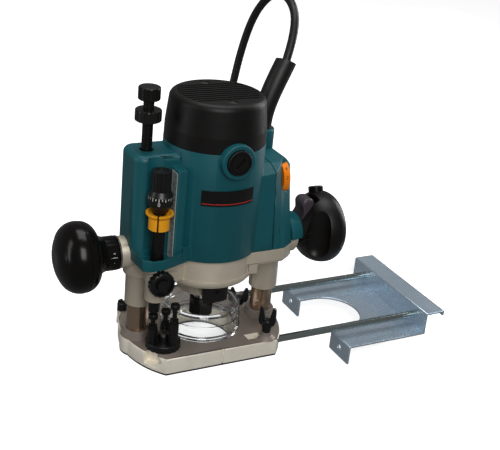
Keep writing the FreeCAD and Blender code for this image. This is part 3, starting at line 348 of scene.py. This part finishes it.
# ---------------------------------------------------------------- cord
CORD_D = 7.5 * MM
CORD_ROUTE = [mm(*p) for p in (
    (81, 36, 241), (93, 44, 268), (100, 70, 287), (101, 104, 287), (97, 130, 262), (92, 142, 222),
    (86, 144, 176), (76, 151, 132), (69, 151, 94), (71, 152.5, 58), (90, 154.6, 33))]
COIL_AT = mm(98, 198, 0)
COIL_PITCH = 7.9
COIL_INNER_R = 32.1
COIL_LAYERS = (26.4, 18.9, 11.4, 3.85)
COIL_STEP = 15  # degrees from point to point
COIL_HOLD = 90  # degrees in which one layer steps down to the next
COIL_LEAD, LEAD_SWEEP = 2.3, 60  # the first turn starts this much higher and sinks over these degrees
PLUG_LEAD = [mm(*p) for p in ((145.9, 206, 3.9), (144.6, 217, 6.9), (140.2, 226, 11.6), (138.5, 231.5, 13.4))]


def coil_path():
    """Layers wound from the top down, in and out by turns, each stepping down where it turns back."""
    outer = COIL_INNER_R + 2 * COIL_PITCH
    half_way = COIL_INNER_R + 1.5 * COIL_PITCH
    angle, radius, inwards = -90.0, half_way, True
    points = []
    for index, height in enumerate(COIL_LAYERS):
        goal = COIL_INNER_R if inwards else outer
        sweep = abs(goal - radius) / COIL_PITCH * 360
        steps = round(sweep / COIL_STEP)
        for i in range(steps):
            part = i / steps
            lead = COIL_LEAD * max(0.0, 1 - sweep * part / LEAD_SWEEP) ** 2 if index == 0 else 0.0
            points.append(coil_point(angle + sweep * part, radius + (goal - radius) * part, height + lead))
        angle += sweep
        radius = goal
        if index < len(COIL_LAYERS) - 1:
            drop = COIL_LAYERS[index + 1] - height
            for i in range(COIL_HOLD // COIL_STEP):
                part = i * COIL_STEP / COIL_HOLD
                eased = part * part * (3 - 2 * part)
                points.append(coil_point(angle + COIL_HOLD * part, radius, height + drop * eased))
            angle += COIL_HOLD
        inwards = not inwards
    points.append(coil_point(angle, radius, COIL_LAYERS[-1]))
    return points[1:]  # the route's own end stands in for the first


def coil_point(degrees, radius, height):
    turn = math.radians(degrees)
    return COIL_AT + mm(radius * math.cos(turn), radius * math.sin(turn), height)


def smooth_line(points):
    """Points read from the NURBS spline that has the given control points."""
    curve = bpy.data.curves.new("cord_line", "CURVE")
    curve.dimensions = "3D"
    curve.resolution_u = 6
    spline = curve.splines.new("NURBS")
    spline.points.add(len(points) - 1)
    for point, at in zip(spline.points, points):
        point.co = (*at, 1)
    spline.order_u = 3
    spline.use_endpoint_u = True
    holder = bpy.data.objects.new("cord_line", curve)
    bpy.context.collection.objects.link(holder)
    bpy.context.view_layer.update()
    mesh = bpy.data.meshes.new_from_object(holder)
    line = [v.co.copy() for v in mesh.vertices]
    bpy.data.objects.remove(holder)
    bpy.data.meshes.remove(mesh)
    return line


def tube_mesh(line, radius, sides=14):
    """A round tube along a line, its section carried without twist."""
    bm = bmesh.new()
    turns = [math.tau * k / sides for k in range(sides)]
    rings = []
    normal = (line[1] - line[0]).orthogonal().normalized()
    for i, at in enumerate(line):
        ahead = line[min(i + 1, len(line) - 1)] - line[max(i - 1, 0)]
        ahead.normalize()
        normal = (normal - ahead * normal.dot(ahead)).normalized()
        across = ahead.cross(normal)
        rings.append([bm.verts.new(at + (normal * math.cos(turn) + across * math.sin(turn)) * radius)
                      for turn in turns])
    edge_rings = []
    for ring in rings:
        edge_rings.append([bm.edges.new((ring[k], ring[(k + 1) % sides])) for k in range(sides)])
    for first, second in zip(edge_rings, edge_rings[1:]):
        bmesh.ops.bridge_loops(bm, edges=first + second)
    bm.faces.new(rings[0])
    bm.faces.new(rings[-1])
    bmesh.ops.recalc_face_normals(bm, faces=bm.faces)
    return bm


def make_cord():
    line = smooth_line(CORD_ROUTE + coil_path() + PLUG_LEAD)
    cord = add_piece("mains_cord", tube_mesh(line, CORD_D / 2), RUBBER,
                     replaces=("cord_tube", "cord_coil"), smooth=60)
    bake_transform(cord)


make_cord()


# ---------------------------------------------------------------- carried-over nodes
def dress_nodes():
    """Give every node of the frame its finish."""
    for name, material in NODE_FINISH.items():
        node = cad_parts[name]
        node.data.materials.clear()
        node.data.materials.append(material)


dress_nodes()


ROUNDED = ("base_casting", "gear_housing", "motor_housing", "guide_plate", "right_cover")
EDGE_WIDTH = 0.5 * MM
EDGE_SEGMENTS = 2
SHARP_ANGLE = math.radians(32)
FLAT_ANGLE = math.radians(0.6)
WELD_DISTANCE = 1e-6


def round_edges(names):
    """Break the sharp edges of carried-over nodes so that they catch light."""
    for name in names:
        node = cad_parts[name]
        weld = node.modifiers.new("weld", "WELD")
        weld.merge_threshold = WELD_DISTANCE
        flat = node.modifiers.new("flat", "DECIMATE")
        flat.decimate_type = "DISSOLVE"
        flat.angle_limit = FLAT_ANGLE
        bevel = node.modifiers.new("bevel", "BEVEL")
        bevel.width = EDGE_WIDTH
        bevel.segments = EDGE_SEGMENTS
        bevel.limit_method = "ANGLE"
        bevel.angle_limit = SHARP_ANGLE
        bevel.use_clamp_overlap = False
        bevel.harden_normals = False


round_edges(ROUNDED)


# ---------------------------------------------------------------- printed marks
RIGHT, FRONT, UP = (1, 0, 0), (0, -1, 0), (0, 0, 1)
KNOB_AXIS = mm(-58.4, -30, 0)
KNOB_FACING = (-0.49, -0.87, 0)
KNOB_R = 10.16 * MM
KNOB_TICKS = 24
KNOB_TICK_WIDTH = 0.55
KNOB_LONG, KNOB_SHORT = (2.6, 156.0), (1.7, 156.4)  # a tick's length and the height of its middle
KNOB_DIGITS, KNOB_DIGIT_SIZE, KNOB_DIGIT_Z = "0123", 3.2, 152.5

SCALE_X = -45.9
SCALE_EDGE_Y = -31.0
SCALE_TICKS, SCALE_FIRST_Z, SCALE_PITCH = 15, 101, 5
SCALE_LONG, SCALE_SHORT, SCALE_TICK_WIDTH = 3.4, 2.0, 0.5
SCALE_DIGITS, SCALE_DIGIT_SIZE, SCALE_DIGIT_Y = "0123456", 3.0, -25.6
SCALE_DIGIT_Z, SCALE_DIGIT_PITCH = 103, 10

DIAL_CENTRE = mm(65, 0.2, 150)
DIAL_R = 15.56 * MM
DIAL_DIGITS, DIAL_DIGIT_SIZE = "54321", 3.4
DIAL_FIRST, DIAL_PITCH = -14, -30  # degrees round the dial from its front

LABEL_DRUM = mm(0, 0, 148.2)
LABEL_R = 43.25 * MM
LABEL_TURN = math.radians(-4.5)
LABEL_LINE_SIZE = (46.5, 0.8)

ARROW_CENTRE = mm(-88.4, 0, 96)
ARROW_R = 14.56 * MM
ARROW_RISE = math.radians(8)
STEM_SIZE, STEM_Y = (1.8, 4.0), -2.2
HEAD_R, HEAD_Y = 3.4, 1.2


def knob_marks():
    """Ticks round the depth knob's sleeve, long and short by turns, with digits below them."""
    prints = []
    for i in range(KNOB_TICKS):
        length, z = KNOB_SHORT if i % 2 else KNOB_LONG
        prints.append(wrap(patch(KNOB_TICK_WIDTH, length), KNOB_AXIS + mm(0, 0, z), UP, KNOB_FACING, KNOB_R,
                           turn=math.tau * i / KNOB_TICKS))
    for i, text in enumerate(KNOB_DIGITS):
        prints.append(wrap(flat_text(text, KNOB_DIGIT_SIZE), KNOB_AXIS + mm(0, 0, KNOB_DIGIT_Z), UP,
                           KNOB_FACING, KNOB_R, turn=math.tau * i / len(KNOB_DIGITS)))
    return gathered(prints)


def flat_mark(bm, y, z):
    """Stand a print on the depth scale, which faces -X."""
    for vert in bm.verts:
        vert.co = mm(SCALE_X, y, z) + Vector((0, -vert.co.x, vert.co.y))
    return bm


def scale_marks():
    """Ticks up the depth scale, long and short by turns, each starting at the scale's edge, and digits."""
    prints = []
    for i in range(SCALE_TICKS):
        length = SCALE_SHORT if i % 2 else SCALE_LONG
        prints.append(flat_mark(patch(length, SCALE_TICK_WIDTH), SCALE_EDGE_Y + length / 2,
                                SCALE_FIRST_Z + SCALE_PITCH * i))
    for i, text in enumerate(SCALE_DIGITS):
        prints.append(flat_mark(flat_text(text, SCALE_DIGIT_SIZE), SCALE_DIGIT_Y,
                                SCALE_DIGIT_Z + SCALE_DIGIT_PITCH * i))
    return gathered(prints)


def dial_digits():
    """Digits round the rim of the speed dial."""
    prints = []
    for i, text in enumerate(DIAL_DIGITS):
        prints.append(wrap(flat_text(text, DIAL_DIGIT_SIZE), DIAL_CENTRE, RIGHT, FRONT, DIAL_R,
                           along_axis=False, turn=math.radians(DIAL_FIRST + DIAL_PITCH * i)))
    return gathered(prints)


def label_line():
    """A thin line across the curved label."""
    facing = (math.sin(LABEL_TURN), -math.cos(LABEL_TURN), 0)
    return wrap(patch(*LABEL_LINE_SIZE, across=40), LABEL_DRUM, UP, facing, LABEL_R)


def knob_arrow():
    """An arrow round the neck of the clamp knob: a stem and a three-sided head."""
    stem = patch(*STEM_SIZE)
    bmesh.ops.translate(stem, vec=mm(0, STEM_Y, 0), verts=stem.verts)
    head = bmesh.new()
    bmesh.ops.create_circle(head, cap_ends=True, segments=3, radius=HEAD_R * MM)
    bmesh.ops.translate(head, vec=mm(0, HEAD_Y, 0), verts=head.verts)
    facing = (0, -math.cos(ARROW_RISE), math.sin(ARROW_RISE))
    return wrap(gathered([stem, head]), ARROW_CENTRE, RIGHT, facing, ARROW_R, along_axis=False)


def make_prints():
    add_piece("depth_knob_marks", knob_marks(), INK, body="depth_knob")
    add_piece("depth_scale_marks", scale_marks(), DARK_INK, body="motor_unit")
    add_piece("speed_dial_digits", dial_digits(), DARK_INK, body="speed_dial")
    add_piece("label_red_line", label_line(), LABEL_LINE, body="motor_unit")
    add_piece("lock_knob_arrow", knob_arrow(), INK, body="lock_knob")


make_prints()


# ---------------------------------------------------------------- studio
FLOOR_HALF = 9
FLOOR_Z = -0.0175
BOARD_HALF = 1.2
BOARD_EDGE = 0.097  # the side guide hangs beyond it
BOARD_ARM_Y = 0.1  # behind this the board runs on under the coil and the plug
BOARD_THICK, BOARD_MIDDLE_Z = 0.016, -0.0081
PAPER_GLOW = 0.72
SKY_STRENGTH = 0.15
LIGHTS = (  # name, place, aim, size and power
    ("key_softbox", (-0.35, -1.25, 1.0), (0.02, 0, 0.1), (0.7, 0.9), 14),
    ("left_strip", (-1.2, 0.15, 0.45), (0.0, 0, 0.12), (0.3, 1.1), 3),
    ("right_strip", (1.15, 0.25, 0.5), (0.05, 0, 0.12), (0.3, 1.1), 7),
    ("top_softbox", (0.1, 0.2, 1.5), (0.05, 0, 0.1), (0.9, 0.9), 10),
)


def studio_paper():
    """White paper that glows a little, so that it stays white in every view."""
    paper = finish("studio_white_paper", (0.9, 0.9, 0.9), 0.8, mottle=0.005, grain=0.01)
    shader = paper.node_tree.nodes["Principled BSDF"]
    shader.inputs["Emission Color"].default_value = (1, 1, 1, 1)
    shader.inputs["Emission Strength"].default_value = PAPER_GLOW
    return paper


def area_light(name, at, aim, size, power):
    data = bpy.data.lights.new(name, "AREA")
    data.shape = "RECTANGLE"
    data.size, data.size_y = size
    data.energy = power
    lamp = bpy.data.objects.new(name, data)
    bpy.context.collection.objects.link(lamp)
    lamp.location = at
    lamp.rotation_euler = (Vector(aim) - Vector(at)).to_track_quat("-Z", "Y").to_euler()


def make_studio():
    paper = studio_paper()
    sheet = bmesh.new()
    bmesh.ops.create_grid(sheet, x_segments=1, y_segments=1, size=0.5)
    bmesh.ops.scale(sheet, vec=(2 * FLOOR_HALF, 2 * FLOOR_HALF, 1), verts=sheet.verts)
    bmesh.ops.translate(sheet, vec=(0, 0, FLOOR_Z), verts=sheet.verts)
    bench = bmesh.new()
    for x0, x1, y0, y1 in ((-BOARD_HALF, BOARD_EDGE, -BOARD_HALF, BOARD_HALF),
                           (BOARD_EDGE, BOARD_HALF, BOARD_ARM_Y, BOARD_HALF)):
        slab = bmesh.ops.create_cube(bench, size=1)["verts"]
        bmesh.ops.scale(bench, vec=(x1 - x0, y1 - y0, BOARD_THICK), verts=slab)
        bmesh.ops.translate(bench, vec=((x0 + x1) / 2, (y0 + y1) / 2, BOARD_MIDDLE_Z), verts=slab)
    for name, bm in (("studio_floor", sheet), ("studio_board", bench)):
        piece = add_piece(name, bm, paper)
        piece.visible_diffuse = False
        piece.visible_glossy = False
    world = bpy.data.worlds.new("studio_sky")
    world.use_nodes = True
    sky = world.node_tree.nodes["Background"]
    sky.inputs["Color"].default_value = (1, 1, 1, 1)
    sky.inputs["Strength"].default_value = SKY_STRENGTH
    bpy.context.scene.world = world
    for light in LIGHTS:
        area_light(*light)


make_studio()
bpy.context.scene.view_settings.view_transform = "Standard"
